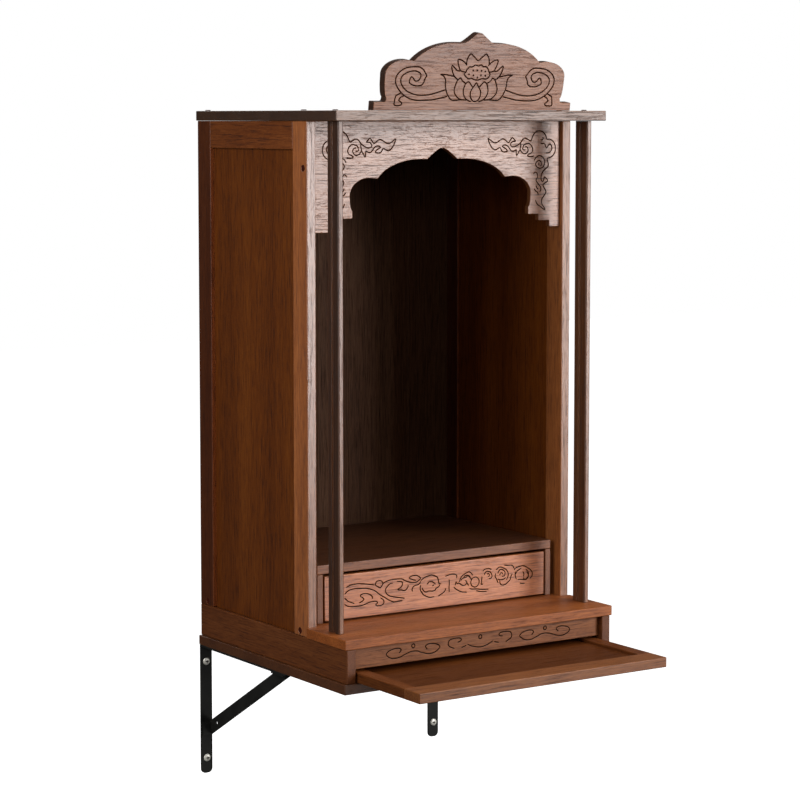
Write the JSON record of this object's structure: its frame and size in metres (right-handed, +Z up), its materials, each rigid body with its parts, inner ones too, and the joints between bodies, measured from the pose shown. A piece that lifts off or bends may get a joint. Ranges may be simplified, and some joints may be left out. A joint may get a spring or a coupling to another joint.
{
  "type": "household altar cabinet",
  "caption": "Wall-hung wooden shrine cabinet with an arched front, lotus-carved crest, slender columns, a carved drawer and a sliding offering tray on steel brackets.",
  "frame": {"origin": "middle of the rear face of the base rail, on the wall plane", "axes": "+Z up, +Y into the wall, +X to the right as seen from the front; the front looks along -Y"},
  "size_m": [0.4882, 0.5955, 1.1665],
  "materials": {
    "lacquered_wood": "semi-gloss lacquer over straight grain",
    "front_wood": "semi-gloss lacquer over level grain, with burnt carved lines",
    "back_wood": "dark satin lacquer",
    "black_steel": "satin black paint",
    "screw_zinc": "dull zinc",
    "dark_plug": "dark stained end grain"
  },
  "bodies": {
    "cabinet": {"apron": "front_wood", "back_panel": "back_wood", "base_rear_rail": "lacquered_wood", "bottom_board": "lacquered_wood", "crest": "front_wood", "left_base_side": "lacquered_wood", "left_brace": "black_steel", "left_bracket": "black_steel", "left_column": "lacquered_wood", "left_column_cap": "dark_plug", "left_front_plug": "dark_plug", "left_front_stile": "lacquered_wood", "left_lower_screw": "screw_zinc", "left_rear_cap": "dark_plug", "left_rear_plug": "dark_plug", "left_rear_stile": "lacquered_wood", "left_side_panel": "lacquered_wood", "left_step_side": "lacquered_wood", "left_stile_cap": "dark_plug", "left_top_plug": "dark_plug", "left_top_rail": "lacquered_wood", "left_upper_screw": "screw_zinc", "platform_board": "lacquered_wood", "right_base_side": "lacquered_wood", "right_brace": "black_steel", "right_bracket": "black_steel", "right_column": "lacquered_wood", "right_column_cap": "dark_plug", "right_front_plug": "dark_plug", "right_front_stile": "lacquered_wood", "right_lower_screw": "screw_zinc", "right_rear_cap": "dark_plug", "right_rear_plug": "dark_plug", "right_rear_stile": "lacquered_wood", "right_side_panel": "lacquered_wood", "right_step_side": "lacquered_wood", "right_stile_cap": "dark_plug", "right_top_plug": "dark_plug", "right_top_rail": "lacquered_wood", "right_upper_screw": "screw_zinc", "step_shelf": "lacquered_wood", "top_board": "lacquered_wood", "valance": "front_wood"},
    "drawer": {"drawer_front": "front_wood", "drawer_left_side": "lacquered_wood", "drawer_right_side": "lacquered_wood", "drawer_back": "lacquered_wood", "drawer_floor": "lacquered_wood"},
    "tray": {"tray_front_rail": "lacquered_wood", "tray_rear_rail": "lacquered_wood", "tray_left_rail": "lacquered_wood", "tray_right_rail": "lacquered_wood", "tray_panel": "lacquered_wood"}
  },
  "joints": [
    {"name": "drawer_slide", "type": "slide", "parent": "cabinet", "child": "drawer", "axis": [0, -1, 0], "range_m": [0, 0.22]},
    {"name": "tray_slide", "type": "slide", "parent": "cabinet", "child": "tray", "axis": [0, 1, 0], "range_m": [0, 0.161]}
  ]
}
